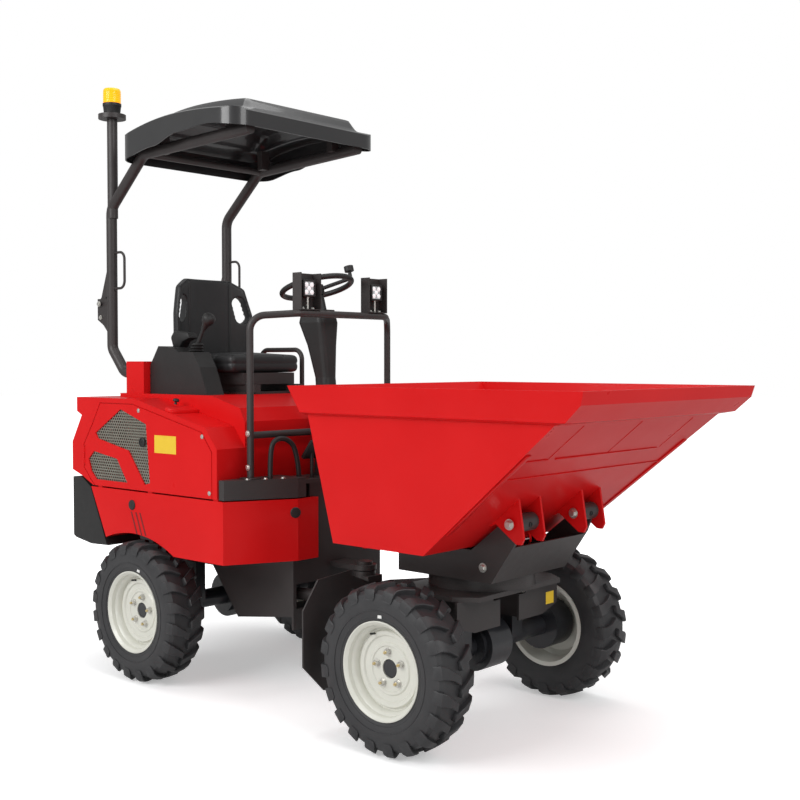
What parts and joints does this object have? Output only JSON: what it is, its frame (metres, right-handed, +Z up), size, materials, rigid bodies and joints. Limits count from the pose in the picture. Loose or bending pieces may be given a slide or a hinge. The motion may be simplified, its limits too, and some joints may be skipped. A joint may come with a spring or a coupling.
{
  "type": "site dumper",
  "caption": "Articulated site dumper with a swivelling, tipping front skip, an operator's seat over the engine, a canopy on a folding roll bar and large lugged tyres.",
  "frame": {"origin": "on the ground under the middle of the machine's length and width", "axes": "+X to the front (the skip), +Y to the left, +Z up"},
  "size_m": [3.33, 1.4, 3.1049],
  "materials": {
    "red_paint": "gloss",
    "dark_paint": "semi-gloss",
    "tyre": "matte",
    "dark_plastic": "matte",
    "cast_grey": "painted satin",
    "grille_steel": "perforated",
    "chrome_rod": "polished",
    "vinyl": "satin",
    "amber": "clear amber",
    "rim_paint": "gloss"
  },
  "bodies": {
    "rear_body": {"rear_frame": "dark_paint", "tow_jaw": "dark_paint", "pivot_pin": "dark_paint", "engine_block": "cast_grey", "lower_body_left": "red_paint", "lower_body_right": "red_paint", "rear_bumper": "dark_plastic", "engine_cover": "red_paint", "floor_plate": "dark_paint", "pedals": "dark_plastic", "guard_rail": "dark_paint", "lamp_brackets": "dark_paint", "work_lamps": "dark_plastic", "steering_column": "dark_plastic", "seat_base": "dark_paint", "seat_cushion": "vinyl", "seat_back": "dark_plastic", "console": "dark_plastic", "joystick": "dark_plastic", "hip_bar": "dark_paint", "rops_housings": "red_paint", "rops_lower": "dark_paint", "rear_axle": "cast_grey"},
    "front_body": {"front_chassis": "dark_paint", "front_axle": "cast_grey", "mudguards": "dark_paint"},
    "swivel": {"skip_frame": "dark_paint"},
    "tipping_skip": {"skip": "red_paint", "skip_ears": "red_paint"},
    "tip_barrel": {"tip_barrel": "dark_paint"},
    "tip_rod": {"tip_rod": "chrome_rod"},
    "steer_barrel": {"steer_barrel": "dark_paint"},
    "steer_rod": {"steer_rod": "chrome_rod"},
    "folding_rops": {"rops_upper": "dark_paint", "beacon": "amber", "canopy": "dark_plastic"},
    "hand_wheel": {"steering_wheel": "dark_plastic"},
    "door_right": {"side_door_right": "red_paint", "grille_right": "grille_steel"},
    "door_left": {"side_door_left": "red_paint", "grille_left": "grille_steel"},
    "wheel_front_right": {"rim_front_right": "rim_paint", "tyre_front_right": "tyre"},
    "wheel_front_left": {"rim_front_left": "rim_paint", "tyre_front_left": "tyre"},
    "wheel_rear_right": {"rim_rear_right": "rim_paint", "tyre_rear_right": "tyre"},
    "wheel_rear_left": {"rim_rear_left": "rim_paint", "tyre_rear_left": "tyre"}
  },
  "joints": [
    {"name": "articulation", "type": "hinge", "parent": "rear_body", "child": "front_body", "pos_m": [-0.03, 0, 0.48], "axis": [0, 0, 1], "range_deg": [-35, 35]},
    {"name": "skip_swivel", "type": "hinge", "parent": "front_body", "child": "swivel", "pos_m": [0.695, 0, 0.66], "axis": [0, 0, -1], "range_deg": [-90, 90]},
    {"name": "skip_tip", "type": "hinge", "parent": "swivel", "child": "tipping_skip", "pos_m": [1.085, 0, 0.957], "axis": [0, 1, 0], "range_deg": [0, 75]},
    {"name": "tip_barrel_swing", "type": "hinge", "parent": "swivel", "child": "tip_barrel", "pos_m": [0.56, 0, 0.64], "axis": [0, -1, 0], "range_deg": [0, 21.42]},
    {"name": "tip_rod_slide", "type": "slide", "parent": "tip_barrel", "child": "tip_rod", "axis": [0.8695, 0, 0.494], "range_m": [0, 0.17893]},
    {"name": "steer_barrel_swing", "type": "hinge", "parent": "rear_body", "child": "steer_barrel", "pos_m": [-0.33, -0.23, 0.48], "axis": [0, 0, 1], "range_deg": [-10.45, 10.45]},
    {"name": "steer_rod_slide", "type": "slide", "parent": "steer_barrel", "child": "steer_rod", "axis": [0.9864, 0.1644, 0], "range_m": [-0.10602, 0.10602]},
    {"name": "rops_fold", "type": "hinge", "parent": "rear_body", "child": "folding_rops", "pos_m": [-1.633, 0, 1.937], "axis": [0, -1, 0], "range_deg": [0, 90]},
    {"name": "steering_wheel_turn", "type": "hinge", "parent": "rear_body", "child": "hand_wheel", "pos_m": [-0.36, 0, 1.995], "axis": [-0.2756, 0, 0.9613], "continuous": true},
    {"name": "side_door_right_hinge", "type": "hinge", "parent": "rear_body", "child": "door_right", "pos_m": [-1.48, -0.635, 1.18], "axis": [0, 0, -1], "range_deg": [0, 75]},
    {"name": "side_door_left_hinge", "type": "hinge", "parent": "rear_body", "child": "door_left", "pos_m": [-1.48, 0.635, 1.18], "axis": [0, 0, 1], "range_deg": [0, 75]},
    {"name": "wheel_front_right_spin", "type": "hinge", "parent": "front_body", "child": "wheel_front_right", "pos_m": [0.695, -0.588, 0.356], "axis": [0, 1, 0], "continuous": true},
    {"name": "wheel_front_left_spin", "type": "hinge", "parent": "front_body", "child": "wheel_front_left", "pos_m": [0.695, 0.588, 0.356], "axis": [0, 1, 0], "continuous": true},
    {"name": "wheel_rear_right_spin", "type": "hinge", "parent": "rear_body", "child": "wheel_rear_right", "pos_m": [-0.999, -0.588, 0.356], "axis": [0, 1, 0], "continuous": true},
    {"name": "wheel_rear_left_spin", "type": "hinge", "parent": "rear_body", "child": "wheel_rear_left", "pos_m": [-0.999, 0.588, 0.356], "axis": [0, 1, 0], "continuous": true}
  ],
  "couplings": [
    {"joint": "tip_barrel_swing", "follows": "skip_tip", "ratio": 0.28556},
    {"joint": "tip_rod_slide", "follows": "skip_tip", "m_per_rad": 0.13669},
    {"joint": "steer_barrel_swing", "follows": "articulation", "ratio": 0.29864},
    {"joint": "steer_rod_slide", "follows": "articulation", "m_per_rad": 0.17355}
  ]
}
